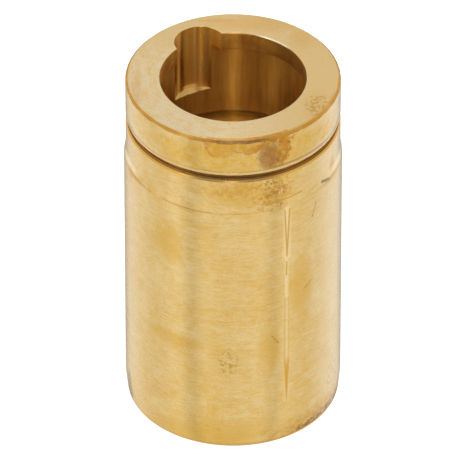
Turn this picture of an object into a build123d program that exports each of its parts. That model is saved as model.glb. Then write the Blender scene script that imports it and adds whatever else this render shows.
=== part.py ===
"""Rigid sleeve coupling, turned from one piece of brass bar.

The sleeve stands on its plain lower end.  +Z runs up the shaft axis, the origin
is the centre of the lower end face, and the half-round key slot is cut into the
upper end on the +Y side.  All sizes are in millimetres and degrees.
"""
from build123d import *
import os

# ---- driving dimensions ----

length = 53.0

# outside: a body, and a slightly smaller neck above a long shallow step
body_diameter = 30.0
neck_diameter = 29.5
step_top_below_rim = 11.0
step_height = 1.5
rim_chamfer = 0.3
lead_in_height = 2.9
lead_in_depth = 0.28
lower_edge_break = 0.2

# inside: a shaft bore, widened by a recess that leaves a narrow land at the mouth
bore_diameter = 20.0
mouth_edge_break = 0.12
land_bottom_below_rim = 2.9
land_chamfer = 0.3
recess_diameter = 23.2
recess_floor_below_rim = 14.7
recess_floor_chamfer = 0.5
lower_mouth_chamfer = 0.5

# groove for a thin retaining ring, round the neck
groove_top_below_rim = 5.79
groove_width = 0.93
groove_depth = 0.6
groove_upper_lip_height = 0.4
groove_upper_lip_depth = 0.08
groove_lower_lip = 0.22

# key slot, made by a flat-ended cutter fed down beside the bore
slot_diameter = 7.0
slot_centre_from_axis = 9.26
slot_depth = 10.35

# how far a cutting shape runs past the face that it opens, for a clean cut
run_past = 2.0

# ---- worked-out sizes ----

body_radius = body_diameter / 2
neck_radius = neck_diameter / 2
bore_radius = bore_diameter / 2
recess_radius = recess_diameter / 2
step_top = length - step_top_below_rim
step_bottom = step_top - step_height
lead_in_radius = body_radius - lead_in_depth
land_bottom = length - land_bottom_below_rim
recess_floor = length - recess_floor_below_rim
groove_top = length - groove_top_below_rim
groove_bottom = groove_top - groove_width
groove_floor_radius = neck_radius - groove_depth


def turned(outline):
    """Revolve a closed outline of (radius, height) points about the Z axis."""
    face = make_face(Polyline(*outline, close=True))
    return revolve(Plane.XZ * face, Axis.Z, 360)


def outside_form():
    """The bar turned to its outside shape, still solid."""
    return turned([
        (0, 0),
        (lead_in_radius - lower_edge_break, 0),
        (lead_in_radius, lower_edge_break),
        (body_radius, lead_in_height),
        (body_radius, step_bottom),
        (neck_radius, step_top),
        (neck_radius, length - rim_chamfer),
        (neck_radius - rim_chamfer, length),
        (0, length),
    ])


def inside_space():
    """The bore from end to end, its recess, and the chamfers at its edges."""
    return turned([
        (0, -run_past),
        (bore_radius + lower_mouth_chamfer + run_past, -run_past),
        (bore_radius, lower_mouth_chamfer),
        (bore_radius, recess_floor - recess_floor_chamfer),
        (bore_radius + recess_floor_chamfer, recess_floor),
        (recess_radius, recess_floor),
        (recess_radius, land_bottom),
        (bore_radius + land_chamfer, land_bottom),
        (bore_radius, land_bottom + land_chamfer),
        (bore_radius, length - mouth_edge_break),
        (bore_radius + mouth_edge_break + run_past, length + run_past),
        (0, length + run_past),
    ])


def ring_groove():
    """The retaining-ring groove, with its upper lip eased and its lower edge broken."""
    upper_lip_radius = neck_radius - groove_upper_lip_depth
    lower_edge = groove_bottom - groove_lower_lip
    return turned([
        (groove_floor_radius, groove_bottom),
        (neck_radius - groove_lower_lip, groove_bottom),
        (neck_radius, lower_edge),
        (body_radius + run_past, lower_edge),
        (body_radius + run_past, groove_top + groove_upper_lip_height),
        (neck_radius, groove_top + groove_upper_lip_height),
        (upper_lip_radius, groove_top),
        (groove_floor_radius, groove_top),
    ])


def key_slot():
    """The round-sided slot, open to the bore and to the upper face."""
    cutter_height = slot_depth + run_past
    cutter_centre = length - slot_depth + cutter_height / 2
    return Pos(0, slot_centre_from_axis, cutter_centre) * Cylinder(slot_diameter / 2, cutter_height)


coupling_sleeve = outside_form() - inside_space() - ring_groove() - key_slot()

os.makedirs("parts", exist_ok=True)
export_step(coupling_sleeve, "parts/coupling_sleeve.step")
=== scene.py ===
import math

import bmesh
import bpy
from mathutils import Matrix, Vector, noise


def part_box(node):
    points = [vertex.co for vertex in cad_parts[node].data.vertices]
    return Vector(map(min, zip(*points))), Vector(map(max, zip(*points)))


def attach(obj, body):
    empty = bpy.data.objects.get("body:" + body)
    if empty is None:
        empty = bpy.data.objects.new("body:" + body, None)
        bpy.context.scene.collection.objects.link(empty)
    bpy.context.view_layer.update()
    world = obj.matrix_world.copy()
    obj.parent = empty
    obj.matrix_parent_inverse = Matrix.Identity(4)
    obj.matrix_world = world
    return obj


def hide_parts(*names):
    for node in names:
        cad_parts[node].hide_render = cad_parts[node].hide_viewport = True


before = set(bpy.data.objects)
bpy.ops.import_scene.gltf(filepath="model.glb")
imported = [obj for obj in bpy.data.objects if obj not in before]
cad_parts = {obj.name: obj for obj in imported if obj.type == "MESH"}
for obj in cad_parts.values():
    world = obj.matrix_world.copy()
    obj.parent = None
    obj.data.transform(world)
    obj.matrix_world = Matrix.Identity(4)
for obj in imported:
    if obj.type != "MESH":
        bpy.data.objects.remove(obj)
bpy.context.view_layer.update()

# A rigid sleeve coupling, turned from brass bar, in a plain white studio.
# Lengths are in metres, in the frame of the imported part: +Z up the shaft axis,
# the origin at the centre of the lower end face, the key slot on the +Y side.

MM = 0.001
NODE = "coupling_sleeve"
sleeve_low, sleeve_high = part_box(NODE)

# ---- sizes ----

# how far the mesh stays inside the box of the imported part
INSIDE_BOX = 0.001 * MM
LENGTH = sleeve_high[2] - INSIDE_BOX
BODY_RADIUS = min(-sleeve_low[0], sleeve_high[0], -sleeve_low[1], sleeve_high[1]) - INSIDE_BOX
NECK_RADIUS = BODY_RADIUS - 0.25 * MM
LEAD_IN_RADIUS = BODY_RADIUS - 0.28 * MM
LEAD_IN_HEIGHT = 2.9 * MM
LOWER_EDGE_BREAK = 0.2 * MM
STEP_TOP = LENGTH - 11.0 * MM
STEP_BOTTOM = STEP_TOP - 1.5 * MM
RIM_CHAMFER = 0.3 * MM

BORE_RADIUS = 10.0 * MM
BORE_CHAMFER = 0.5 * MM
MOUTH_EDGE_BREAK = 0.12 * MM
LAND_BOTTOM = LENGTH - 2.9 * MM
LAND_CHAMFER = 0.3 * MM
RECESS_RADIUS = 11.6 * MM
RECESS_FLOOR = LENGTH - 14.7 * MM

GROOVE_TOP = LENGTH - 5.79 * MM
GROOVE_BOTTOM = GROOVE_TOP - 0.93 * MM
GROOVE_FLOOR_RADIUS = NECK_RADIUS - 0.6 * MM
GROOVE_LIP = 0.22 * MM
UPPER_LIP_DEPTH = 0.08 * MM
UPPER_LIP_HEIGHT = 0.4 * MM
# a fine turned line on the neck, just above the groove
RING_LINE = GROOVE_TOP + 0.56 * MM
RING_LINE_HALF = 0.06 * MM
RING_LINE_DEPTH = 0.035 * MM

SLOT_RADIUS = 3.5 * MM
SLOT_CENTRE = 9.26 * MM
SLOT_FLOOR = LENGTH - 10.35 * MM

# ---- the camera, and directions counted from it ----

CAMERA_AZIMUTH = math.radians(-29.36)
CAMERA_ELEVATION = math.radians(37.70)
CAMERA_DISTANCE = 1.326
CAMERA_LENS_MM = 751.2
CAMERA_TARGET_HEIGHT = 26.59 * MM
CAMERA_AIM_LEFT = 0.423 * MM
CAMERA_AIM_UP = -0.01 * MM
FRONT_ANGLE = CAMERA_AZIMUTH - math.pi / 2


def around(degrees):
    """The plan angle of a place on the sleeve, counted to the right of its front."""
    return FRONT_ANGLE + math.radians(degrees)


def make_camera():
    azimuth, elevation = CAMERA_AZIMUTH, CAMERA_ELEVATION
    right = Vector((math.cos(azimuth), math.sin(azimuth), 0))
    back = Vector((math.sin(azimuth) * math.cos(elevation),
                   -math.cos(azimuth) * math.cos(elevation),
                   math.sin(elevation)))
    up = back.cross(right)
    aim = Vector((0, 0, CAMERA_TARGET_HEIGHT)) - right * CAMERA_AIM_LEFT + up * CAMERA_AIM_UP
    data = bpy.data.cameras.new("camera")
    data.lens = CAMERA_LENS_MM
    data.sensor_width = 36.0
    data.clip_start = 0.05
    data.clip_end = 20.0
    camera = bpy.data.objects.new("camera", data)
    bpy.context.scene.collection.objects.link(camera)
    camera.location = aim + back * CAMERA_DISTANCE
    camera.rotation_mode = "QUATERNION"
    camera.rotation_quaternion = back.to_track_quat("Z", "Y")
    bpy.context.scene.camera = camera


# ---- the sleeve's shape ----

COLUMNS = 300
LONGEST_STEP = 1.0 * MM
# an eased corner is this many steps long, and takes at most this share of either side
EASE_STEPS = 3
EASE_SHARE = 0.45


def eased(corners):
    """A closed outline of (radius, height, ease) corners, each turned into a small arc."""
    points = []
    count = len(corners)
    for i, (radius, height, ease) in enumerate(corners):
        here = Vector((radius, height))
        if ease == 0:
            points.append(here)
            continue
        before = Vector(corners[i - 1][:2]) - here
        after = Vector(corners[(i + 1) % count][:2]) - here
        reach = min(ease, before.length * EASE_SHARE, after.length * EASE_SHARE)
        start = here + before.normalized() * reach
        end = here + after.normalized() * reach
        for step in range(EASE_STEPS + 1):
            t = step / EASE_STEPS
            points.append(start * (1 - t) ** 2 + here * 2 * t * (1 - t) + end * t ** 2)
    return points


def subdivided(points, longest):
    """The same outline with no step longer than the given length."""
    out = []
    for i, here in enumerate(points):
        after = points[(i + 1) % len(points)]
        pieces = max(1, math.ceil((after - here).length / longest))
        out += [here.lerp(after, k / pieces) for k in range(pieces)]
    return out


def sleeve_outline():
    """The turned section, from the lower mouth of the bore round the outside and back."""
    crisp = 0.04 * MM
    soft = 0.12 * MM
    rounded = 0.3 * MM
    blend = 1.2 * MM
    return eased([
        (BORE_RADIUS + BORE_CHAMFER, 0, crisp),
        (LEAD_IN_RADIUS - LOWER_EDGE_BREAK, 0, crisp),
        (LEAD_IN_RADIUS, LOWER_EDGE_BREAK, soft),
        (BODY_RADIUS, LEAD_IN_HEIGHT, blend),
        (BODY_RADIUS, STEP_BOTTOM, rounded),
        (NECK_RADIUS, STEP_TOP, rounded),
        (NECK_RADIUS, GROOVE_BOTTOM - GROOVE_LIP, crisp),
        (NECK_RADIUS - GROOVE_LIP, GROOVE_BOTTOM, crisp),
        (GROOVE_FLOOR_RADIUS, GROOVE_BOTTOM, soft),
        (GROOVE_FLOOR_RADIUS, GROOVE_TOP, soft),
        (NECK_RADIUS - UPPER_LIP_DEPTH, GROOVE_TOP, crisp),
        (NECK_RADIUS, GROOVE_TOP + UPPER_LIP_HEIGHT, crisp),
        (NECK_RADIUS, RING_LINE - RING_LINE_HALF, 0),
        (NECK_RADIUS - RING_LINE_DEPTH, RING_LINE, 0),
        (NECK_RADIUS, RING_LINE + RING_LINE_HALF, 0),
        (NECK_RADIUS, LENGTH - RIM_CHAMFER, crisp),
        (NECK_RADIUS - RIM_CHAMFER, LENGTH, crisp),
        (BORE_RADIUS + MOUTH_EDGE_BREAK, LENGTH, crisp),
        (BORE_RADIUS, LENGTH - MOUTH_EDGE_BREAK, crisp),
        (BORE_RADIUS, LAND_BOTTOM + LAND_CHAMFER, crisp),
        (BORE_RADIUS + LAND_CHAMFER, LAND_BOTTOM, crisp),
        (RECESS_RADIUS, LAND_BOTTOM, soft),
        (RECESS_RADIUS, RECESS_FLOOR, soft),
        (BORE_RADIUS + BORE_CHAMFER, RECESS_FLOOR, crisp),
        (BORE_RADIUS, RECESS_FLOOR - BORE_CHAMFER, crisp),
        (BORE_RADIUS, BORE_CHAMFER, crisp),
    ])


# two long shallow dents right of the front, one above the other: a needle and a wedge
NEEDLE_ARC = 7.72 * MM
NEEDLE_LOW, NEEDLE_HIGH = 6.9 * MM, 25.0 * MM
NEEDLE_HALF = 0.38 * MM
NEEDLE_DEPTH = 0.014 * MM
WEDGE_TIP, WEDGE_TOP = 32.2 * MM, 40.2 * MM
WEDGE_HALF = 0.50 * MM
WEDGE_DEPTH = 0.02 * MM
WEDGE_FLANK = 0.2 * MM
# the degrees right of the front where the columns are closer together, to hold the dents
FINE_FROM, FINE_TO, FINE_STEP = 27.0, 32.4, 0.2


def column_angles():
    """Plan angles of the mesh columns, closer together where the dents are."""
    degrees = [360 * c / COLUMNS for c in range(COLUMNS)]
    degrees = [d for d in degrees if not FINE_FROM <= d <= FINE_TO]
    count = round((FINE_TO - FINE_FROM) / FINE_STEP)
    degrees += [FINE_FROM + FINE_STEP * k for k in range(count + 1)]
    return [around(d) for d in sorted(degrees)]


def dent_depth(arc, height):
    """Depth of the needle and the wedge at a place on the outside.

    The needle is sharp at its lower end and blunter at its upper one.
    """
    depth = 0.0
    if NEEDLE_LOW < height < NEEDLE_HIGH:
        share = (height - NEEDLE_LOW) / (NEEDLE_HIGH - NEEDLE_LOW)
        width = NEEDLE_HALF * min(1.0, 3.0 * share, 4.0 * (1.0 - share) + 0.2)
        offset = abs(arc - NEEDLE_ARC) / width
        depth += NEEDLE_DEPTH * max(0.0, 1.0 - offset)
    if WEDGE_TIP < height < WEDGE_TOP:
        width = WEDGE_HALF * (height - WEDGE_TIP) / (WEDGE_TOP - WEDGE_TIP)
        edge = (width - abs(arc - NEEDLE_ARC)) / WEDGE_FLANK
        depth += WEDGE_DEPTH * max(0.0, min(1.0, edge))
    return depth


# only the outside is uneven: everything within this distance of the neck's surface
SKIN = 0.35 * MM
WAVE_DEPTH = 0.004 * MM
WAVES_PER_MM = 0.3
# wear eats unevenly into the rim and into the groove's upper edge
WEAR_DEPTH = 0.05 * MM
WEAR_PER_MM = 1.3
WEAR_UNDER_RIM = 0.35 * MM
WEAR_BY_GROOVE = 0.1 * MM


def worn(point, angle):
    """The turned radius, less small dents and the uneven wear along the edges."""
    radius, height = point
    if radius < NECK_RADIUS - SKIN:
        return radius
    place = Vector((math.cos(angle) * 15, math.sin(angle) * 15, height / MM))
    waviness = WAVE_DEPTH * (1 + noise.noise(place * WAVES_PER_MM))
    edge_wear = 0.0
    if height > LENGTH - WEAR_UNDER_RIM or abs(height - GROOVE_TOP) < WEAR_BY_GROOVE:
        edge_wear = WEAR_DEPTH * max(0.0, noise.noise(place * WEAR_PER_MM))
    arc = BODY_RADIUS * ((angle - FRONT_ANGLE + math.pi) % (2 * math.pi) - math.pi)
    return radius - waviness - edge_wear - dent_depth(arc, height)


def revolved(name, points, angles):
    """A closed ring of quads: the outline turned through the given plan angles."""
    mesh = bpy.data.meshes.new(name)
    vertices = []
    for angle in angles:
        for point in points:
            radius = worn(point, angle)
            vertices.append((radius * math.cos(angle), radius * math.sin(angle), point.y))
    rows, columns = len(points), len(angles)
    faces = []
    for c in range(columns):
        here = c * rows
        after = (c + 1) % columns * rows
        for r in range(rows):
            above = (r + 1) % rows
            faces.append((here + r, after + r, after + above, here + above))
    mesh.from_pydata(vertices, [], faces)
    return mesh


SLOT_COLUMNS = 128


def slot_ring(build, radius, height):
    """One level ring of vertices round the slot's own axis."""
    ring = []
    for c in range(SLOT_COLUMNS):
        angle = 2 * math.pi * c / SLOT_COLUMNS
        place = (radius * math.cos(angle), SLOT_CENTRE + radius * math.sin(angle), height)
        ring.append(build.verts.new(place))
    return ring


def slot_cutter():
    """The key slot's space: a round bar with an eased lower edge and a flared mouth."""
    flare = 0.06 * MM
    corner = 0.15 * MM
    top = LENGTH + 2.0 * MM
    section = [
        (SLOT_RADIUS - corner, SLOT_FLOOR),
        (SLOT_RADIUS - corner * 0.3, SLOT_FLOOR + corner * 0.3),
        (SLOT_RADIUS, SLOT_FLOOR + corner),
        (SLOT_RADIUS, LENGTH - flare),
        (SLOT_RADIUS + flare * 2, LENGTH + flare),
        (SLOT_RADIUS + flare * 2, top),
    ]
    build = bmesh.new()
    rings = [slot_ring(build, radius, height) for radius, height in section]
    for lower, upper in zip(rings, rings[1:]):
        for c in range(SLOT_COLUMNS):
            after = (c + 1) % SLOT_COLUMNS
            build.faces.new((lower[c], lower[after], upper[after], upper[c]))
    build.faces.new(list(reversed(rings[0])))
    build.faces.new(rings[-1])
    mesh = bpy.data.meshes.new("slot_space")
    build.to_mesh(mesh)
    build.free()
    return bpy.data.objects.new("slot_space", mesh)


SHARP_ANGLE = math.radians(32)
NORMAL_WEIGHT = 60


def cut_away(item, cutter):
    """Cut one object out of the other, and remove the cutter."""
    for part in (item, cutter):
        bpy.context.scene.collection.objects.link(part)
    cut = item.modifiers.new("key_slot", "BOOLEAN")
    cut.operation = "DIFFERENCE"
    cut.solver = "EXACT"
    cut.object = cutter
    bpy.context.view_layer.update()
    graph = bpy.context.evaluated_depsgraph_get()
    finished = bpy.data.meshes.new_from_object(item.evaluated_get(graph))
    item.modifiers.clear()
    item.data = finished
    bpy.data.objects.remove(cutter)


def make_sleeve():
    outline = subdivided(sleeve_outline(), LONGEST_STEP)
    sleeve = bpy.data.objects.new("sleeve", revolved("sleeve", outline, column_angles()))
    cut_away(sleeve, slot_cutter())
    sleeve.data.shade_smooth()
    sleeve.data.set_sharp_from_angle(angle=SHARP_ANGLE)
    weights = sleeve.modifiers.new("even_shading", "WEIGHTED_NORMAL")
    weights.keep_sharp = True
    weights.weight = NORMAL_WEIGHT
    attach(sleeve, "root")
    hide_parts(NODE)
    return sleeve


# ---- building node trees ----

class Nodes:
    """Short calls for building one node tree."""

    def __init__(self, tree):
        self.tree = tree
        tree.nodes.clear()

    def add(self, kind, **settings):
        node = self.tree.nodes.new(kind)
        for key, value in settings.items():
            setattr(node, key, value)
        return node

    def feed(self, socket, value):
        """Link a socket to a node's output, or set it to a plain value."""
        if isinstance(value, bpy.types.NodeSocket):
            self.tree.links.new(value, socket)
        else:
            socket.default_value = value

    def math(self, operation, *values):
        node = self.add("ShaderNodeMath", operation=operation)
        for socket, value in zip(node.inputs, values):
            self.feed(socket, value)
        return node.outputs[0]

    def chained(self, operation, values):
        total = values[0]
        for value in values[1:]:
            total = self.math(operation, total, value)
        return total

    def sum(self, *values):
        return self.chained("ADD", values)

    def product(self, *values):
        return self.chained("MULTIPLY", values)

    def most(self, *values):
        return self.chained("MAXIMUM", values)

    def less(self, value, taken):
        return self.math("SUBTRACT", value, taken)

    def size(self, value):
        return self.math("ABSOLUTE", value)

    def length(self, x, y):
        """The length of the flat vector (x, y)."""
        return self.math("SQRT", self.sum(self.product(x, x), self.product(y, y)))

    def degrees(self, y, x):
        """The angle of the flat vector (x, y)."""
        return self.math("DEGREES", self.math("ARCTAN2", y, x))

    def split(self, vector):
        node = self.add("ShaderNodeSeparateXYZ")
        self.feed(node.inputs[0], vector)
        return node.outputs

    def vector(self, x, y, z):
        node = self.add("ShaderNodeCombineXYZ")
        for socket, value in zip(node.inputs, (x, y, z)):
            self.feed(socket, value)
        return node.outputs[0]

    def noise(self, coordinates, scale, detail, roughness):
        node = self.add("ShaderNodeTexNoise")
        self.feed(node.inputs["Vector"], coordinates)
        node.inputs["Scale"].default_value = scale
        node.inputs["Detail"].default_value = detail
        node.inputs["Roughness"].default_value = roughness
        return node.outputs["Fac"]

    def ramp(self, value, low, high, out_low=0.0, out_high=1.0):
        """A smooth change from one output to the other between the two limits."""
        node = self.add("ShaderNodeMapRange", interpolation_type="SMOOTHSTEP")
        for socket, number in zip(node.inputs, (value, low, high, out_low, out_high)):
            self.feed(socket, number)
        return node.outputs[0]

    def fall(self, value, low, high):
        """1 up to the low limit, falling smoothly to 0 at the high one."""
        return self.ramp(value, low, high, 1.0, 0.0)

    def without(self, value):
        """1 where the value is 0, and 0 where it is 1."""
        return self.fall(value, 0.0, 1.0)

    def between(self, value, low, high, soft):
        """1 between the two limits, falling to 0 within the soft distance outside them."""
        return self.product(self.ramp(value, low - soft, low), self.fall(value, high, high + soft))

    def hump(self, value, centre, half_width):
        """1 at the centre, falling smoothly to 0 at the half width."""
        return self.fall(self.size(self.less(value, centre)), 0.0, half_width)

    def limited(self, value):
        """The value, kept from 0 to 1."""
        return self.math("MINIMUM", self.math("MAXIMUM", value, 0.0), 1.0)

    def mix(self, share, first, second):
        """The first colour, with this share of the second."""
        node = self.add("ShaderNodeMix", data_type="RGBA")
        self.feed(node.inputs[0], share)
        self.feed(node.inputs[6], first)
        self.feed(node.inputs[7], second)
        return node.outputs[2]


# millimetres of arc in one degree, on the body's 15 mm radius
ARC_PER_DEGREE = math.radians(15.0)
# Strips of painted highlight and painted shade up the key slot's wall, standing in for its streaks of
# reflection: the angle round the slot's own axis, from +X, and half width.
PAINTED_HIGHLIGHT_STRIP = (119.0, 10.0)
DARK_SHADE_STRIP = (105.5, 8.0)
PAINTED_LIGHT_STRIP = (73.0, 5.0)
DULL_SHADE_STRIP = (63.0, 9.0)
# the angles between which the wall's foot gets a painted light, and how softly that ends
PAINTED_LIGHT_FOOT = (74.0, 98.0, 8.0)


class Places:
    """Where a point is on the sleeve, in millimetres and degrees, for the brass material."""

    def __init__(self, n):
        self.n = n
        self.find_point()
        self.find_slot()
        self.find_surfaces()

    def find_point(self):
        """The point's own coordinates, and those counted from the sleeve's front."""
        n = self.n
        coordinates = n.add("ShaderNodeTexCoord")
        millimetres = n.add("ShaderNodeMapping", vector_type="POINT")
        n.feed(millimetres.inputs["Vector"], coordinates.outputs["Object"])
        millimetres.inputs["Scale"].default_value = (1000, 1000, 1000)
        self.point = millimetres.outputs[0]
        turned = n.add("ShaderNodeMapping", vector_type="POINT")
        n.feed(turned.inputs["Vector"], self.point)
        turned.inputs["Rotation"].default_value = (0, 0, -FRONT_ANGLE)
        self.x, self.y, self.z = n.split(self.point)
        self.ahead, self.side, _ = n.split(turned.outputs[0])
        self.radius = n.length(self.x, self.y)
        self.phi = n.degrees(self.side, self.ahead)
        self.arc = n.product(self.phi, ARC_PER_DEGREE)
        self.turn_x = n.math("DIVIDE", self.x, self.radius)
        self.turn_y = n.math("DIVIDE", self.y, self.radius)
        self.facing_up = n.split(coordinates.outputs["Normal"])[2]
        self.upward = n.ramp(self.facing_up, 0.75, 0.95)

    def find_slot(self):
        """Whether the point is on the key slot's wall or floor, and where round its axis."""
        n = self.n
        slot_radius, slot_floor, rim = SLOT_RADIUS / MM, SLOT_FLOOR / MM, LENGTH / MM
        self.from_slot_y = n.less(self.y, SLOT_CENTRE / MM)
        self.slot_turn = n.degrees(self.from_slot_y, self.x)
        self.over_slot_floor = n.less(self.z, slot_floor)
        near_wall = n.fall(n.length(self.x, self.from_slot_y), slot_radius + 0.03, slot_radius + 0.08)
        above_floor = n.ramp(self.z, slot_floor - 0.15, slot_floor - 0.1)
        below_rim = n.fall(self.z, rim - 0.1, rim - 0.05)
        self.in_slot = n.product(near_wall, above_floor, below_rim)
        low_wall = n.ramp(self.over_slot_floor, 0.75, 0.45)
        wall_foot = n.product(self.in_slot, low_wall, n.without(self.upward))
        # where the wall's foot gets a painted light
        self.slot_lit_foot = n.product(wall_foot, n.between(self.slot_turn, *PAINTED_LIGHT_FOOT))
        # the strip up the wall's left that gets a painted highlight
        self.slot_highlight_strip = n.hump(self.slot_turn, *PAINTED_HIGHLIGHT_STRIP)

    def find_surfaces(self):
        """Which of the sleeve's surfaces the point is on: 1 on it, 0 off it."""
        n = self.n
        neck, rim = NECK_RADIUS / MM, LENGTH / MM
        in_bore = n.product(n.fall(self.radius, 12.2, 12.4), n.fall(self.z, rim - 0.12, rim - 0.02))
        self.inside = n.most(in_bore, self.in_slot)
        self.side_wall = n.ramp(self.radius, 13.9, 14.0)
        beside_groove = n.between(self.z, GROOVE_BOTTOM / MM - 0.02, GROOVE_TOP / MM + 0.02, 0.02)
        below_skin = n.ramp(self.radius, neck - 0.06, neck - 0.10)
        self.in_groove = n.product(beside_groove, below_skin, self.side_wall)
        near_top = n.ramp(self.z, rim - 0.38, rim - 0.26)
        self.rim = n.product(near_top, n.ramp(self.radius, neck - 0.36, neck - 0.28))

    def blotches(self, per_mm, detail, roughness, low, high, out_low=0.0, out_high=1.0):
        """Soft-edged blotches, with about the given number of them to the millimetre."""
        spread = self.n.noise(self.point, per_mm, detail, roughness)
        return self.n.ramp(spread, low, high, out_low, out_high)

    def strokes(self, around_count, across_pitch, detail, roughness, slant):
        """Noise drawn out round the axis: lines on the walls, circles on the end faces."""
        n = self.n
        across = n.sum(self.z, self.radius, n.product(self.side, slant))
        stretched = n.vector(n.product(self.turn_x, around_count),
                             n.product(self.turn_y, around_count),
                             n.product(across, 1.0 / across_pitch))
        return n.noise(stretched, 1.0, detail, roughness)

    def spot(self, places, centre, reach, ragged, grain):
        """Distance from a spot's centre by two coordinates: 1 at its ragged edge."""
        n = self.n
        across = n.product(n.less(places[0], centre[0]), 1.0 / reach[0])
        along = n.product(n.less(places[1], centre[1]), 1.0 / reach[1])
        wander = n.noise(self.point, 1.0 / grain, 4.0, 0.6)
        return n.sum(n.length(across, along), n.product(n.less(wander, 0.5), ragged * 4))

    def patch_distance(self, arc, height, half_arc, half_height, ragged, grain):
        """Distance from the centre of a ragged spot on the outside wall: 1 at its edge."""
        return self.spot((self.arc, self.z), (arc, height), (half_arc, half_height), ragged, grain)

    def patch(self, arc, height, half_arc, half_height, ragged, grain, soft=0.5):
        """A ragged spot on the outside wall: 1 inside it, 0 well outside it."""
        distance = self.patch_distance(arc, height, half_arc, half_height, ragged, grain)
        return self.n.fall(distance, 1.0 - soft, 1.0 + soft)

    def face_patch(self, ahead, side, half_ahead, half_side, ragged, grain, soft):
        """A ragged spot on the upper end face."""
        n = self.n
        reach = (half_ahead, half_side)
        distance = self.spot((self.ahead, self.side), (ahead, side), reach, ragged, grain)
        return n.product(n.fall(distance, 1.0 - soft, 1.0 + soft), self.upward)

    def line(self, start, end, half_width):
        """A straight scratch on the outside wall between two (arc, height) points."""
        n = self.n
        run, rise = end[0] - start[0], end[1] - start[1]
        squared = run * run + rise * rise
        across = n.less(self.arc, start[0])
        along = n.less(self.z, start[1])
        share = n.limited(n.sum(n.product(across, run / squared), n.product(along, rise / squared)))
        off_x = n.less(across, n.product(share, run))
        off_z = n.less(along, n.product(share, rise))
        distance = n.length(off_x, off_z)
        return n.product(n.fall(distance, 0.3 * half_width, 1.4 * half_width), self.side_wall)

    def sliver(self, arc, tip, top, half_width):
        """A long upright mark that starts at a point and widens towards its soft upper end."""
        n = self.n
        widening = n.product(n.less(self.z, tip), half_width / (top - tip))
        width = n.math("MINIMUM", widening, half_width)
        past_edge = n.less(n.size(n.less(self.arc, arc)), width)
        fading = n.fall(self.z, top - 1.5, top + 1.5)
        return n.product(n.fall(past_edge, -0.10, 0.08), fading, self.side_wall)


# ---- the brass ----

def tint(red, green, blue):
    return (red, green, blue, 1.0)


# bare metal, and the colours of painted sheen and highlights
PLAIN = tint(0.76, 0.515, 0.165)
PALE = tint(0.80, 0.60, 0.274)
GOLDEN = tint(0.70, 0.42, 0.08)
GRAZING_SHEEN = tint(0.80, 0.66, 0.42)
FACE = tint(0.69, 0.475, 0.19)
PALE_FACE = tint(0.715, 0.57, 0.35)
WARM_FACE = tint(0.685, 0.48, 0.215)
INNER = tint(0.91, 0.43, 0.052)
SCRAPED = tint(0.86, 0.68, 0.36)
FLECK = tint(0.95, 0.82, 0.55)
STEP_HIGHLIGHT_COLOUR = tint(0.95, 0.80, 0.45)
GLINT = tint(1.0, 0.86, 0.55)
# tarnish and dirt, and the colours of painted shade
GILT = tint(0.70, 0.41, 0.055)
ORANGE = tint(0.58, 0.29, 0.032)
RUST = tint(0.52, 0.22, 0.034)
BROWN = tint(0.38, 0.22, 0.08)
MAUVE = tint(0.36, 0.195, 0.08)
DEEP_SHADE = tint(0.17, 0.075, 0.018)
SPECKLE = tint(0.47, 0.20, 0.02)
FINE_SCRATCH = tint(0.60, 0.31, 0.03)
NEEDLE_FILL = tint(0.64, 0.33, 0.03)
DARK_SCRATCH = tint(0.44, 0.24, 0.05)
NICK = tint(0.20, 0.135, 0.075)
PIT = tint(0.42, 0.25, 0.05)
FOOT_DARK_BAND = tint(0.22, 0.10, 0.018)
FOOT_EDGE = tint(0.80, 0.42, 0.06)
LEFT_STAIN = tint(0.26, 0.19, 0.07)
STAIN_LEFT = tint(0.63, 0.32, 0.02)
STAIN_RIGHT = tint(0.53, 0.22, 0.012)
BRUISE = tint(0.34, 0.15, 0.02)
FLAKE = tint(0.66, 0.36, 0.05)
LIP_SHADOW = tint(0.33, 0.165, 0.05)
RIM_ORANGE = tint(0.60, 0.30, 0.05)
RIM_BROWN = tint(0.27, 0.14, 0.06)
FINGER = tint(0.50, 0.29, 0.08)
MOUTH_EDGE_SHADE = tint(0.55, 0.32, 0.08)
RECESS_CORNER_SHADE = tint(0.22, 0.10, 0.015)


def metal_tone(n, at, lines):
    """How pale (1) or golden (0) the bare metal is, from its tool marks and handling."""
    clouds = n.noise(at.point, 0.16, 4.0, 0.6)
    mottle = n.noise(at.point, 0.8, 3.0, 0.6)
    grain = n.noise(at.point, 4.5, 2.0, 0.6)
    tone = 0.55
    for source, weight in ((clouds, -1.0), (mottle, 0.8), (grain, 0.9), *lines):
        tone = n.sum(tone, n.product(n.less(source, 0.5), weight))
    return n.limited(tone)


# Spots are given by arc, height, half arc, half height, raggedness and grain, in mm.
# Arcs are counted to the right from the front, and heights from the lower end face.
GOLDEN_SPOTS = [
    (10.2, 26.0, 1.7, 6.0, 0.3, 1.2),
    (-9.0, 17.5, 4.8, 1.1, 0.35, 1.5),
    (5.2, 16.5, 1.6, 4.0, 0.35, 1.2),
    (-9.8, 34.0, 2.2, 3.4, 0.45, 1.5),
    (-1.0, 2.6, 6.5, 2.2, 0.45, 1.5),
    (2.0, 43.9, 5.5, 1.9, 0.4, 1.0),
]


def golden_marks(n, at, colour, strokes):
    """Golden spots on the body, and orange in the deeper tool marks."""
    spots = n.most(*[at.patch(*spot) for spot in GOLDEN_SPOTS])
    streaked = n.product(spots, n.ramp(strokes, 0.38, 0.6, 0.45, 1.0))
    colour = n.mix(n.product(streaked, 0.9), colour, GOLDEN)
    deep_strokes = n.product(n.ramp(strokes, 0.55, 0.66), at.blotches(0.3, 3.0, 0.6, 0.50, 0.60))
    orange_strokes = n.product(deep_strokes, at.side_wall)
    return n.mix(n.product(orange_strokes, 0.6), colour, ORANGE)


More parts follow.
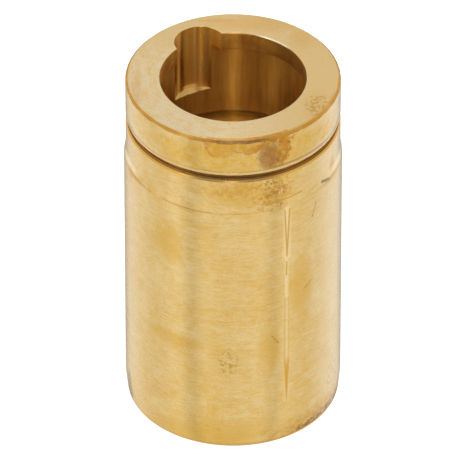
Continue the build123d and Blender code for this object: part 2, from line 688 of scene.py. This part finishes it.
def rough_patch_marks(n, at, colour):
    """The mottled patch under the ring groove, right of the front."""
    speckle = at.blotches(1.3, 5.0, 0.78, 0.47, 0.55)
    clumps = at.blotches(0.55, 3.0, 0.6, 0.36, 0.52, 0.45, 1.0)
    rough_patch = at.patch(5.6, 43.6, 2.6, 2.6, 0.35, 0.9)
    colour = n.mix(n.product(rough_patch, 0.55), colour, GOLDEN)
    colour = n.mix(n.product(rough_patch, speckle, clumps, 0.95), colour, SPECKLE)
    flecks = at.blotches(2.9, 2.0, 0.6, 0.62, 0.68)
    colour = n.mix(n.product(rough_patch, flecks, 0.7), colour, FLECK)
    low_speckle = at.patch(1.5, 44.6, 6.5, 1.2, 0.35, 0.9)
    return n.mix(n.product(low_speckle, speckle, 0.6), colour, ORANGE)


def needle_side(n, at, offset, strength):
    """A fine line up one side of the needle, leaning towards it at the top."""
    needle = NEEDLE_ARC / MM
    start = (needle + offset, NEEDLE_LOW / MM + 6.5)
    end = (needle + offset - math.copysign(0.04, offset), NEEDLE_HIGH / MM)
    return n.product(at.line(start, end, 0.09), strength)


def scratches(n, at, colour):
    """The flanks, edges and dark filling of the long dents, and the smaller scratches."""
    needle = NEEDLE_ARC / MM
    needle_low, needle_high = NEEDLE_LOW / MM, NEEDLE_HIGH / MM
    wedge_tip, wedge_top = WEDGE_TIP / MM, WEDGE_TOP / MM
    flanks = n.most(
        at.line((needle, wedge_tip), (needle + 0.02, wedge_top), 0.62),
        at.line((needle - 0.08, 25.2), (needle - 0.04, 31.6), 0.30),
        n.product(at.line((needle, needle_low), (needle, needle_high), 0.46), 0.5),
    )
    colour = n.mix(n.product(flanks, 0.75), colour, SCRAPED)
    fine_lines = n.most(
        at.line((needle, wedge_tip), (needle - 0.36, wedge_top), 0.14),
        at.line((needle, wedge_tip), (needle + 0.40, wedge_top), 0.14),
        at.line((needle - 0.08, 28.9), (needle - 0.04, 31.2), 0.13),
        needle_side(n, at, -0.32, 0.7),
        needle_side(n, at, 0.32, 0.6),
        at.line((12.1, 37.0), (12.9, 39.0), 0.13),
        at.line((5.1, 41.9), (10.3, 42.1), 0.13),
        at.line((4.6, 42.9), (8.6, 42.5), 0.11),
    )
    colour = n.mix(n.product(fine_lines, 0.85), colour, FINE_SCRATCH)
    filling = at.sliver(needle, needle_low - 1.3, needle_low + 7.0, 0.44)
    colour = n.mix(n.product(filling, 0.9), colour, NEEDLE_FILL)
    broken = at.blotches(2.6, 2.0, 0.6, 0.38, 0.56, 0.25, 1.0)
    dark_lines = n.most(
        at.line((10.46, 25.1), (11.97, 26.1), 0.12),
        at.line((5.35, 19.1), (6.4, 17.5), 0.13),
        at.line((12.1, 37.0), (12.15, 37.1), 0.2),
    )
    colour = n.mix(n.product(dark_lines, broken, 0.75), colour, DARK_SCRATCH)
    nick = at.line((14.4, 41.5), (16.2, 40.9), 0.24)
    return n.mix(n.product(nick, 0.85), colour, NICK)


def pitted_marks(n, at, colour):
    """Small dark pits low on the front and low on the right."""
    pits = at.blotches(2.7, 4.0, 0.7, 0.53, 0.59)
    pitted = n.most(at.patch(-0.8, 15.0, 1.5, 2.2, 0.3, 1.2), at.patch(17.5, 5.5, 1.6, 2.5, 0.3, 1.2))
    return n.mix(n.product(pits, pitted, 0.75), colour, PIT)


def step_marks(n, at, colour):
    """Orange along the foot of the step, and a painted highlight on its slope at the two sides."""
    foot, top = STEP_BOTTOM / MM, STEP_TOP / MM
    away = n.size(at.phi)
    step_line = n.product(n.hump(at.z, foot + 0.3, 0.2),
                          at.blotches(0.35, 3.0, 0.6, 0.36, 0.52),
                          n.ramp(at.arc, 4.0, -4.0, 0.35, 1.0))
    colour = n.mix(n.product(step_line, 0.85, at.side_wall), colour, ORANGE)
    # painted highlight on the step's slope at the two sides
    step_highlight = n.product(n.between(at.z, foot + 0.7, top, 0.15),
                       n.between(away, 68.0, 84.0, 9.0), at.side_wall)
    colour = n.mix(n.product(step_highlight, 0.6), colour, STEP_HIGHLIGHT_COLOUR)
    dull = n.product(n.between(at.z, foot, foot + 0.5, 0.25),
                     n.between(away, 62.0, 84.0, 10.0), at.side_wall)
    return n.mix(n.product(dull, 0.5), colour, ORANGE)


def foot_marks(n, at, colour):
    """The tarnished lower edge, and a dark band on it at the right."""
    foot = n.product(n.ramp(at.z, 0.8, 0.25), at.side_wall)
    colour = n.mix(n.product(foot, 0.7), colour, ORANGE)
    yellow_foot = at.patch(-6.0, 1.5, 7.0, 1.5, 0.3, 1.6)
    colour = n.mix(n.product(yellow_foot, 0.5), colour, GOLDEN)
    blots = at.blotches(1.5, 4.0, 0.7, 0.40, 0.58, 0.3, 1.0)
    dark_band_surround = at.patch(14.6, 0.4, 9.2, 2.9, 0.3, 1.0, 0.4)
    colour = n.mix(n.product(dark_band_surround, blots, 0.75), colour, ORANGE)
    dark_band = at.patch(15.6, 0.0, 7.4, 1.7, 0.14, 1.0, 0.2)
    colour = n.mix(n.product(dark_band, blots, 0.9), colour, FOOT_DARK_BAND)
    bright_edge = n.product(n.ramp(at.z, 0.65, 0.35), n.between(at.arc, 9.0, 21.0, 2.0), at.side_wall)
    colour = n.mix(n.product(bright_edge, 0.8), colour, FOOT_EDGE)
    left_stain = at.patch(-19.3, 2.4, 1.0, 2.6, 0.3, 1.6, 0.35)
    return n.mix(n.product(left_stain, 0.7), colour, LEFT_STAIN)


def outside_marks(n, at, colour, strokes):
    """Everything on the outside below the ring groove."""
    colour = golden_marks(n, at, colour, strokes)
    colour = rough_patch_marks(n, at, colour)
    colour = scratches(n, at, colour)
    right_spot = at.patch(17.4, 42.4, 0.8, 1.3, 0.4, 0.8)
    left_spot = at.patch(-18.2, 40.8, 0.7, 1.2, 0.4, 0.8)
    side_spots = n.most(right_spot, left_spot)
    colour = n.mix(n.product(side_spots, 0.6), colour, ORANGE)
    colour = pitted_marks(n, at, colour)
    colour = step_marks(n, at, colour)
    return foot_marks(n, at, colour)


# the stain on the neck: a long strip under the rim, and the lobes that hang from it
STAIN_STRIP = (2.2, 52.5, 6.8, 1.35)
STAIN_LOBES = [
    (-1.7, 51.5, 2.0, 1.4),
    (2.5, 51.7, 1.3, 1.0),
    (6.1, 50.4, 2.4, 3.0),
]
STAIN_RAGGED, STAIN_GRAIN = 0.26, 0.9


def neck_stain(n, at):
    """Distance from the middle of the neck's stain, about 1 at its edge."""
    nearest = at.patch_distance(*STAIN_STRIP, STAIN_RAGGED, STAIN_GRAIN)
    for lobe in STAIN_LOBES:
        distance = at.patch_distance(*lobe, STAIN_RAGGED, STAIN_GRAIN)
        nearest = n.math("MINIMUM", nearest, distance)
    return nearest


def neck_marks(n, at, colour):
    """The neck: a golden-orange stain right of the front, dark along its edges, on gilt metal."""
    groove_top = GROOVE_TOP / MM
    stained = neck_stain(n, at)
    dirty = n.fall(stained, 0.85, 1.05)
    on_neck = n.product(n.ramp(at.z, groove_top + 0.4, groove_top + 0.7), at.side_wall)
    cloudy = at.blotches(1.0, 4.0, 0.65, 0.36, 0.56, 0.55, 1.0)
    deeper = n.ramp(at.arc, 1.0, 4.5, 0.85, 1.0)
    stain_colour = n.mix(n.ramp(at.arc, 0.5, 4.0), STAIN_LEFT, STAIN_RIGHT)
    colour = n.mix(n.product(dirty, on_neck, cloudy, deeper), colour, stain_colour)
    bruised = n.product(at.blotches(1.4, 4.0, 0.7, 0.50, 0.60), n.ramp(at.arc, 2.5, 4.5),
                        dirty, on_neck)
    colour = n.mix(n.product(bruised, 0.7), colour, BRUISE)
    flakes = n.product(at.blotches(1.9, 3.0, 0.65, 0.50, 0.60), dirty, on_neck)
    colour = n.mix(n.product(flakes, 0.55), colour, FLAKE)
    mottle = at.blotches(1.1, 4.0, 0.6, 0.48, 0.62)
    gilded = n.sum(n.product(mottle, 0.45), 0.45)
    near = n.fall(at.patch_distance(2.6, 49.6, 16.5, 3.0, 0.25, 2.0), 0.7, 1.1)
    colour = n.mix(n.product(gilded, near, on_neck, n.without(dirty)), colour, GILT)
    left_edge = n.product(n.hump(stained, 0.92, 0.16), n.between(at.arc, -3.9, -2.9, 0.5))
    colour = n.mix(n.product(left_edge, on_neck, 0.6), colour, RUST)
    outline = n.product(n.hump(stained, 0.96, 0.13), n.between(at.arc, 0.5, 4.6, 0.6))
    smudge = n.product(at.patch(4.8, 49.9, 1.5, 2.2, 0.35, 0.8, 0.3),
                       at.blotches(1.7, 3.0, 0.6, 0.36, 0.56, 0.25, 1.0))
    bruised_edge = n.most(outline, n.product(smudge, 0.65))
    colour = n.mix(n.product(bruised_edge, on_neck, 0.85), colour, MAUVE)
    lip_line = n.product(n.hump(at.z, groove_top + 0.74, 0.26), n.between(at.arc, 7.0, 15.0, 2.5))
    return n.mix(n.product(lip_line, at.side_wall, 0.75), colour, LIP_SHADOW)


def rim_marks(n, at, colour, uneven):
    """Tarnish on the rim's chamfer: orange all round, brown and chipped at the front."""
    rim = LENGTH / MM
    colour = n.mix(n.product(at.rim, n.ramp(uneven, 0.3, 0.6, 0.7, 1.0)), colour, RIM_ORANGE)
    rim_foot = n.product(n.between(at.z, rim - 0.42, rim - 0.28, 0.05), at.side_wall,
                         n.ramp(uneven, 0.4, 0.6))
    colour = n.mix(n.product(rim_foot, 0.7), colour, RUST)
    chipped = at.blotches(1.6, 3.0, 0.65, 0.44, 0.62, 1.0, 0.4)
    front_rim = n.product(n.most(at.rim, rim_foot), n.between(at.arc, -1.5, 3.0, 3.5), chipped)
    return n.mix(front_rim, colour, RIM_BROWN)


def groove_marks(n, at, colour):
    """The ring groove with painted shade in it, darkest at the front, and a pale painted light on its
    lower wall; its lower lip, with painted shade at the front; and the fine line above it, browner at the
    front.
    """
    off_front = n.ramp(n.size(at.phi), 8.0, 34.0)
    # painted shade in the groove, darkest at the front, and a pale painted light on its upward lower wall
    floor = n.mix(off_front, DEEP_SHADE, tint(0.30, 0.14, 0.035))
    colour = n.mix(at.in_groove, colour, n.mix(at.upward, floor, tint(0.98, 0.62, 0.24)))
    lip_foot, lip_head = (GROOVE_BOTTOM - GROOVE_LIP) / MM, GROOVE_BOTTOM / MM
    lower_lip = n.product(n.between(at.z, lip_foot - 0.02, lip_head, 0.03), at.side_wall)
    # the lower lip: orange at the sides, with painted shade at the front
    lip_orange_and_shade = n.mix(off_front, tint(0.44, 0.26, 0.08), tint(0.68, 0.36, 0.06))
    colour = n.mix(n.product(lower_lip, 0.9), colour, lip_orange_and_shade)
    ring_line = n.product(n.hump(at.z, RING_LINE / MM, 0.08), at.side_wall)
    return n.mix(n.product(ring_line, 0.75), colour, n.mix(off_front, BROWN, ORANGE))


def mouth_marks(n, at, colour):
    """The bore's upper edge: a painted highlight behind on the right, and painted shade straight behind.
    """
    rim = LENGTH / MM
    mouth_edge = n.product(n.between(at.radius, 9.98, 10.14, 0.02),
                           n.ramp(at.z, rim - 0.16, rim - 0.12))
    # painted highlight on the mouth edge behind on the right
    glint = n.product(mouth_edge, n.between(at.phi, 136.0, 156.0, 8.0))
    colour = n.mix(glint, colour, GLINT)
    # painted shade on the mouth edge straight behind
    shaded_mouth_edge = n.product(mouth_edge, n.ramp(n.size(at.phi), 160.0, 168.0))
    return n.mix(n.product(shaded_mouth_edge, 0.8), colour, MOUTH_EDGE_SHADE)


# Spots on the upper face, by distance ahead of the axis and to its right, half sizes both
# ways, raggedness, grain and softness, each with its strength.
FACE_SPOTS = [
    ((-12.9, -1.5, 0.5, 3.2, 0.25, 1.0, 0.5), 0.6),
    ((3.0, -13.2, 4.5, 0.7, 0.35, 1.0, 0.5), 0.5),
    ((-9.0, 9.5, 2.2, 1.6, 0.4, 1.2, 0.6), 0.45),
    ((6.6, 11.4, 2.8, 1.9, 0.4, 1.2, 0.5), 0.3),
    ((-12.4, 4.0, 1.8, 6.0, 0.4, 1.6, 0.6), 0.5),
]


def face_marks(n, at, colour, uneven):
    """The upper face: a ridged finger mark, orange spots, and orange creeping in at its rim."""
    ridges = at.blotches(2.1, 1.0, 0.5, 0.49, 0.56)
    finger = n.product(at.face_patch(6.6, 11.4, 2.3, 1.5, 0.25, 0.9, 0.2), ridges)
    colour = n.mix(n.product(finger, 0.8), colour, FINGER)
    spots = [n.product(at.face_patch(*spot), strength) for spot, strength in FACE_SPOTS]
    outer = n.product(at.upward, n.ramp(at.radius, 14.2, 14.5), n.ramp(uneven, 0.45, 0.6), 0.9)
    right = n.product(at.upward, n.ramp(at.radius, 13.9, 14.4), n.between(at.phi, 18.0, 70.0, 12.0))
    return n.mix(n.product(n.most(*spots, outer, right), 0.6), colour, ORANGE)


def edge_marks(n, at, colour):
    """The marks on the rim, the ring groove, the bore's mouth and the upper face."""
    uneven = n.noise(at.point, 0.45, 3.0, 0.6)
    colour = rim_marks(n, at, colour, uneven)
    colour = groove_marks(n, at, colour)
    colour = mouth_marks(n, at, colour)
    return face_marks(n, at, colour, uneven)


def slot_marks(n, at, colour):
    """The key slot: painted highlight and painted shade as strips up its wall (a bright one on its left,
    a paler one along its left edge, darker and lighter ones), a painted light on its foot, and a bright
    floor with painted shade at one side.
    """
    wall = n.product(at.in_slot, n.without(at.upward))
    lower_half = n.ramp(at.over_slot_floor, 6.0, 2.5)
    left_edge = n.ramp(at.slot_turn, 121.0, 128.0)
    dark_shade_strip = n.hump(at.slot_turn, *DARK_SHADE_STRIP)
    dull_shade_strip = n.hump(at.slot_turn, *DULL_SHADE_STRIP)
    painted_light_strip = n.hump(at.slot_turn, *PAINTED_LIGHT_STRIP)
    # painted highlight in a bright strip up the wall's lower left
    colour = n.mix(n.product(wall, at.slot_highlight_strip, lower_half), colour, tint(1.0, 0.66, 0.17))
    # a paler painted highlight along the wall's left edge
    colour = n.mix(n.product(wall, left_edge, 0.7), colour, tint(0.80, 0.52, 0.16))
    # painted shade in a dark and a dull strip, and a lighter painted streak
    colour = n.mix(n.product(wall, dark_shade_strip, 0.35), colour, DEEP_SHADE)
    colour = n.mix(n.product(wall, dull_shade_strip, 0.6), colour, RUST)
    colour = n.mix(n.product(wall, painted_light_strip, 0.6), colour, tint(1.0, 0.66, 0.22))
    # painted light on the wall's foot
    colour = n.mix(at.slot_lit_foot, colour, tint(1.0, 0.70, 0.22))
    # painted shade on the slot's floor round one side
    floor_painted_shade = n.hump(at.slot_turn, 66.0, 16.0)
    floor = n.mix(floor_painted_shade, tint(1.0, 0.75, 0.27), tint(0.60, 0.38, 0.12))
    return n.mix(n.product(at.in_slot, at.upward), colour, floor)


def side_colour(n, at, tone):
    """The outside wall, with a painted greyish sheen towards its right edge."""
    side = n.mix(tone, GOLDEN, PALE)
    # painted sheen, greyer towards the right edge
    return n.mix(n.ramp(at.side, 9.5, 14.5, 0.0, 0.45), side, GRAZING_SHEEN)


def face_colour(n, at, tone):
    """The upper face, paler at the left front and warmer at the right and the back."""
    warm_side = n.ramp(at.side, -4.0, 12.0)
    warm_back = n.ramp(at.ahead, -4.0, -11.0, 0.0, 0.8)
    pale_face = n.mix(n.most(warm_side, warm_back), PALE_FACE, WARM_FACE)
    handled = n.sum(n.product(tone, 0.6), n.product(n.noise(at.point, 0.9, 3.0, 0.6), 0.8))
    return n.mix(n.ramp(handled, 0.40, 0.90), FACE, pale_face)


def inside_colour(n, at, tone):
    """The bore, the recess and the slot: brown, streaked up and down, with painted shade on the floors
    and on the land's right side.
    """
    recess_floor, land_bottom = RECESS_FLOOR / MM, LAND_BOTTOM / MM
    inner = n.mix(n.ramp(tone, 0.0, 1.0, 0.0, 0.35), INNER, PLAIN)
    drawn = n.vector(n.product(at.x, 1.6), n.product(at.y, 1.6), n.product(at.z, 0.12))
    drag_lines = n.ramp(n.noise(drawn, 1.0, 3.0, 0.6), 0.36, 0.66, 0.0, 0.42)
    specks = at.blotches(3.0, 2.0, 0.6, 0.4, 0.7, 0.0, 0.22)
    inner = n.mix(n.most(drag_lines, specks), inner, RUST)
    on_land = n.product(n.ramp(at.z, land_bottom - 0.02, land_bottom + 0.02), n.without(at.in_slot))
    rusty = at.blotches(0.6, 4.0, 0.6, 0.35, 0.65, 0.45, 0.95)
    inner = n.mix(n.product(on_land, rusty), inner, RUST)
    # painted shade on the land's right side
    shaded_land_side = n.product(on_land, n.ramp(at.side, 2.0, 9.0))
    inner = n.mix(n.product(shaded_land_side, 0.6), inner, DEEP_SHADE)
    # painted shade on the floors inside, deepest next to the wall
    shaded_floors = n.product(n.ramp(at.facing_up, 0.3, 0.6), at.inside)
    outer_floor = n.ramp(at.radius, 10.5, 11.5)
    floor_shade_colour = n.mix(outer_floor, tint(0.34, 0.155, 0.022), tint(0.20, 0.09, 0.012))
    inner = n.mix(shaded_floors, inner, floor_shade_colour)
    lower_bore = n.ramp(at.z, recess_floor - 0.1, recess_floor - 0.3)
    inner = n.mix(n.product(lower_bore, 0.7), inner, RUST)
    return slot_marks(n, at, inner)


def brass_colour(n, at, lines, strokes):
    """The bare metal's colour, with tarnish where it has gathered, and painted light and shade."""
    tone = metal_tone(n, at, lines)
    outside = n.mix(at.upward, side_colour(n, at, tone), face_colour(n, at, tone))
    colour = n.mix(at.inside, outside, inside_colour(n, at, tone))
    recess_floor = RECESS_FLOOR / MM
    # painted shade in the corner at the foot of the recess wall
    corner = n.product(at.inside, n.ramp(at.radius, 11.0, 11.5),
                       n.ramp(at.z, recess_floor + 0.55, recess_floor + 0.1))
    colour = n.mix(n.product(corner, 0.9), colour, RECESS_CORNER_SHADE)
    colour = outside_marks(n, at, colour, strokes)
    colour = neck_marks(n, at, colour)
    return edge_marks(n, at, colour)


def mark_direction(n, at):
    """Tool marks run round the shaft axis, and round the slot's own axis inside the slot."""
    round_axis = n.vector(n.product(at.y, -1.0), at.x, 0.0)
    round_slot = n.vector(n.product(at.from_slot_y, -1.0), at.x, 0.0)
    tangent = n.add("ShaderNodeMix", data_type="VECTOR")
    n.feed(tangent.inputs[0], at.in_slot)
    n.feed(tangent.inputs[4], round_axis)
    n.feed(tangent.inputs[5], round_slot)
    unit = n.add("ShaderNodeVectorMath", operation="NORMALIZE")
    n.feed(unit.inputs[0], tangent.outputs[1])
    return unit.outputs[0]


def relief(n, at, fine, thin, broad):
    """A slight bump, in millimetres, from the tool marks and from longer waves."""
    waves = n.noise(at.point, 0.22, 2.0, 0.5)
    height = n.sum(n.product(fine, 0.007), n.product(thin, 0.003), n.product(broad, 0.008),
                   n.product(waves, 0.03))
    height = n.product(height, n.ramp(at.inside, 0.0, 1.0, 1.0, 0.05))
    bump = n.add("ShaderNodeBump")
    bump.inputs["Strength"].default_value = 1.0
    bump.inputs["Distance"].default_value = MM
    n.feed(bump.inputs["Height"], height)
    return bump.outputs[0]


def film_weight(n, at):
    """Where a thin clear film lies on the metal: the outside wall, and the slot's plain wall."""
    bare = n.most(at.upward, at.in_groove)
    film = n.product(at.side_wall, n.less(1.0, bare))
    film = n.product(film, n.fall(at.rim, 0.0, 0.5), n.ramp(at.z, 1.0, 5.0, 0.1, 1.0))
    in_highlight_strip = n.product(at.in_slot, at.slot_highlight_strip)
    bare_slot = n.most(at.upward, at.slot_lit_foot, in_highlight_strip)
    slot_film = n.product(at.in_slot, n.ramp(bare_slot, 0.0, 1.0, 0.3, 0.0))
    return n.most(n.product(film, 0.75), slot_film)


def brass_material():
    material = bpy.data.materials.new("turned_brass")
    material.use_nodes = True
    n = Nodes(material.node_tree)
    at = Places(n)
    fine = at.strokes(6.0, 0.22, 3.0, 0.6, 0.012)
    thin = at.strokes(12.0, 0.12, 2.0, 0.6, -0.02)
    broad = at.strokes(4.0, 0.8, 3.0, 0.55, 0.03)
    quiet = n.ramp(at.inside, 0.0, 1.0, 1.0, 0.4)
    lines = ((fine, n.product(quiet, 1.6)), (thin, n.product(quiet, 1.5)), (broad, 0.5))
    shader = n.add("ShaderNodeBsdfPrincipled")
    n.feed(shader.inputs["Base Color"], brass_colour(n, at, lines, thin))
    rough_floors = n.product(at.upward, n.most(at.in_groove, at.in_slot))
    in_highlight_strip = n.product(at.in_slot, at.slot_highlight_strip)
    rough_places = n.product(n.most(rough_floors, at.slot_lit_foot, in_highlight_strip), 0.45)
    # the milled places in the slot scatter light as a matt surface does
    milled = n.product(at.in_slot, rough_places, 2.0)
    n.feed(shader.inputs["Metallic"], n.less(1.0, milled))
    roughness = n.sum(n.ramp(fine, 0.3, 0.7, 0.23, 0.32), n.product(at.inside, 0.12),
                      n.product(at.rim, 0.18), rough_places)
    n.feed(shader.inputs["Roughness"], roughness)
    n.feed(shader.inputs["Anisotropic"], n.ramp(at.inside, 0.0, 1.0, 0.85, 1.0))
    shader.inputs["Anisotropic Rotation"].default_value = 0.25
    n.feed(shader.inputs["Tangent"], mark_direction(n, at))
    n.feed(shader.inputs["Coat Weight"], film_weight(n, at))
    shader.inputs["Coat IOR"].default_value = 1.25
    shader.inputs["Coat Roughness"].default_value = 0.3
    n.feed(shader.inputs["Normal"], relief(n, at, fine, thin, broad))
    out = n.add("ShaderNodeOutputMaterial")
    n.feed(out.inputs["Surface"], shader.outputs[0])
    return material


# ---- the studio ----

def one_sided(n, shader):
    """Let a sheet of the set be seen from above only."""
    back = n.add("ShaderNodeNewGeometry").outputs["Backfacing"]
    clear = n.add("ShaderNodeBsdfTransparent")
    both = n.add("ShaderNodeMixShader")
    n.feed(both.inputs[0], back)
    n.feed(both.inputs[1], shader.outputs[0])
    n.feed(both.inputs[2], clear.outputs[0])
    out = n.add("ShaderNodeOutputMaterial")
    n.feed(out.inputs["Surface"], both.outputs[0])


def matt_material(name, colour, glow):
    """A matt sheet of the set, with a white glow of the given strength."""
    material = bpy.data.materials.new(name)
    material.use_nodes = True
    n = Nodes(material.node_tree)
    shader = n.add("ShaderNodeBsdfPrincipled")
    shader.inputs["Base Color"].default_value = colour
    shader.inputs["Roughness"].default_value = 0.9
    shader.inputs["Emission Color"].default_value = tint(1.0, 1.0, 1.0)
    shader.inputs["Emission Strength"].default_value = glow
    one_sided(n, shader)
    return material


def stage_sheet(name, points, material):
    mesh = bpy.data.meshes.new(name)
    mesh.from_pydata(points, [], [tuple(range(len(points)))])
    mesh.materials.append(material)
    sheet = bpy.data.objects.new(name, mesh)
    bpy.context.scene.collection.objects.link(sheet)
    return sheet


def make_floor():
    """A glowing pale floor, left out of reflections, and a plain disc of it inside the bore."""
    half = 1.5
    height = -0.06 * MM
    corners = [(-half, -half, height), (half, -half, height), (half, half, height), (-half, half, height)]
    floor = stage_sheet("floor", corners, matt_material("white_sweep", tint(0.5, 0.5, 0.5), 0.85))
    floor.visible_glossy = False
    steps = 48
    disc_height = -0.03 * MM
    disc = []
    for k in range(steps):
        angle = 2 * math.pi * k / steps
        disc.append((BORE_RADIUS * math.cos(angle), BORE_RADIUS * math.sin(angle), disc_height))
    stage_sheet("floor_in_the_bore", disc, matt_material("shaded_floor", tint(0.75, 0.74, 0.72), 0.0))


# The tent's light all round, and how it changes at some directions: degrees right of the
# front, half width in degrees, and change.  Greyer seams stand at its two front corners.
SIDE_LEVEL = 1.0
TENT = [
    (-44, 13, -0.24),
    (45, 11, -0.22),
    (-62, 13, 0.10),
    (54, 10, 0.10),
    (-30, 12, 0.05),
    (27, 12, 0.04),
    (-90, 30, -0.06),
    (88, 34, -0.06),
    (0, 26, -0.04),
    (-135, 25, 0.04),
    (128, 25, 0.06),
]
# Soft lamps above the front: degrees right of it, half width, lowest and highest rise, light.
LAMPS = [
    (-1.5, 10.0, 28.0, 42.0, 7.0),
    (-52.0, 9.0, 30.0, 42.0, 3.2),
]
ZENITH_LAMP = 1.2
BEHIND_SHADE = 0.6
FRONT_SHADE = 0.5


def tent_light(n, angle, rise):
    """The tent's light by direction, in degrees right of the front and above the floor."""
    away = n.size(angle)
    level = SIDE_LEVEL
    for centre, half_width, change in TENT:
        level = n.sum(level, n.product(n.hump(angle, centre, half_width), change))
    behind = n.product(n.ramp(away, 146.0, 158.0), n.fall(rise, 6.0, 16.0))
    level = n.less(level, n.product(behind, BEHIND_SHADE))
    above_front = n.product(n.between(rise, 22.0, 50.0, 8.0), n.ramp(away, 62.0, 30.0))
    level = n.less(level, n.product(above_front, FRONT_SHADE))
    level = n.sum(level, n.product(n.ramp(rise, 68.0, 78.0), ZENITH_LAMP))
    for centre, half_width, low, high, light in LAMPS:
        lamp = n.product(n.hump(angle, centre, half_width), n.between(rise, low, high, 4.0))
        level = n.sum(level, n.product(lamp, light))
    return level


def make_studio_light():
    """A white light tent, almost even all round, with soft lamps overhead and above the front."""
    world = bpy.data.worlds.new("studio")
    bpy.context.scene.world = world
    world.use_nodes = True
    n = Nodes(world.node_tree)
    turned = n.add("ShaderNodeMapping", vector_type="POINT")
    n.feed(turned.inputs["Vector"], n.add("ShaderNodeTexCoord").outputs["Generated"])
    turned.inputs["Rotation"].default_value = (0, 0, -FRONT_ANGLE)
    ahead, side, up = n.split(turned.outputs[0])
    rise = n.math("DEGREES", n.math("ARCSINE", up))
    background = n.add("ShaderNodeBackground")
    background.inputs["Color"].default_value = tint(1.0, 1.0, 1.0)
    n.feed(background.inputs["Strength"], tent_light(n, n.degrees(side, ahead), rise))
    out = n.add("ShaderNodeOutputWorld")
    n.feed(out.inputs["Surface"], background.outputs[0])


make_camera()
sleeve = make_sleeve()
sleeve.data.materials.clear()
sleeve.data.materials.append(brass_material())
make_floor()
make_studio_light()
bpy.context.scene.view_settings.view_transform = "Standard"
bpy.context.scene.cycles.glossy_bounces = 12
